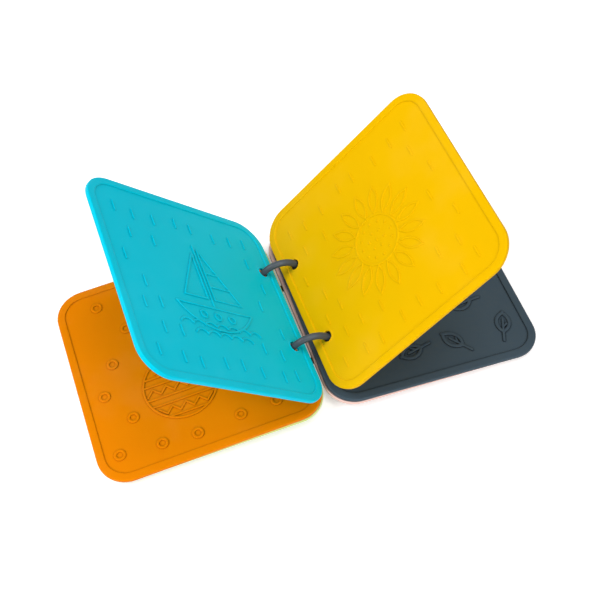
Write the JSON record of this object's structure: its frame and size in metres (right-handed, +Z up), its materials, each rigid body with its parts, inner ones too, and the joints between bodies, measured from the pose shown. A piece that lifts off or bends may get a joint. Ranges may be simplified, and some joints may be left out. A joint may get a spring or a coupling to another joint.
{
  "type": "bath book",
  "caption": "Open bath book of moulded silicone pages with raised outline drawings, bound by plain rings through holes along the spine.",
  "frame": {"origin": "on the table, midway between the two binding rings and under their common axis", "axes": "+X from the spine to the right, +Y along the spine to the far side, +Z up"},
  "size_m": [0.245, 0.1236, 0.101],
  "materials": {
    "green_silicone": "satin moulded silicone",
    "orange_silicone": "satin moulded silicone",
    "turquoise_silicone": "satin moulded silicone",
    "yellow_silicone": "satin moulded silicone",
    "charcoal_silicone": "satin moulded silicone",
    "pink_silicone": "satin moulded silicone",
    "ring_plastic": "satin moulded plastic"
  },
  "bodies": {
    "green": {"cover_green": "green_silicone"},
    "orange": {"page_orange": "orange_silicone"},
    "turquoise": {"page_turquoise": "turquoise_silicone"},
    "yellow": {"page_yellow": "yellow_silicone"},
    "charcoal": {"page_charcoal": "charcoal_silicone"},
    "pink": {"cover_pink": "pink_silicone"},
    "ring_upper": {"ring_upper": "ring_plastic"},
    "ring_lower": {"ring_lower": "ring_plastic"}
  },
  "joints": [
    {"name": "orange_turn", "type": "hinge", "parent": "green", "child": "orange", "pos_m": [0, 0, 0.01385], "axis": [0, 1, 0], "range_deg": [0, 48]},
    {"name": "turquoise_turn", "type": "hinge", "parent": "green", "child": "turquoise", "pos_m": [0, 0, 0.01385], "axis": [0, 1, 0], "range_deg": [-48, 91]},
    {"name": "pink_turn", "type": "hinge", "parent": "green", "child": "pink", "pos_m": [0, 0, 0.01385], "axis": [0, 1, 0], "range_deg": [-45, 0]},
    {"name": "charcoal_turn", "type": "hinge", "parent": "pink", "child": "charcoal", "pos_m": [0, 0, 0.01385], "axis": [0, 1, 0], "range_deg": [-47, 0]},
    {"name": "yellow_turn", "type": "hinge", "parent": "pink", "child": "yellow", "pos_m": [0, 0, 0.01385], "axis": [0, 1, 0], "range_deg": [-91, 47]},
    {"name": "ring_upper_turn", "type": "hinge", "parent": "green", "child": "ring_upper", "pos_m": [0, 0.025, 0.01385], "axis": [0, 1, 0], "continuous": true},
    {"name": "ring_lower_turn", "type": "hinge", "parent": "green", "child": "ring_lower", "pos_m": [0, -0.025, 0.01385], "axis": [0, 1, 0], "continuous": true}
  ]
}
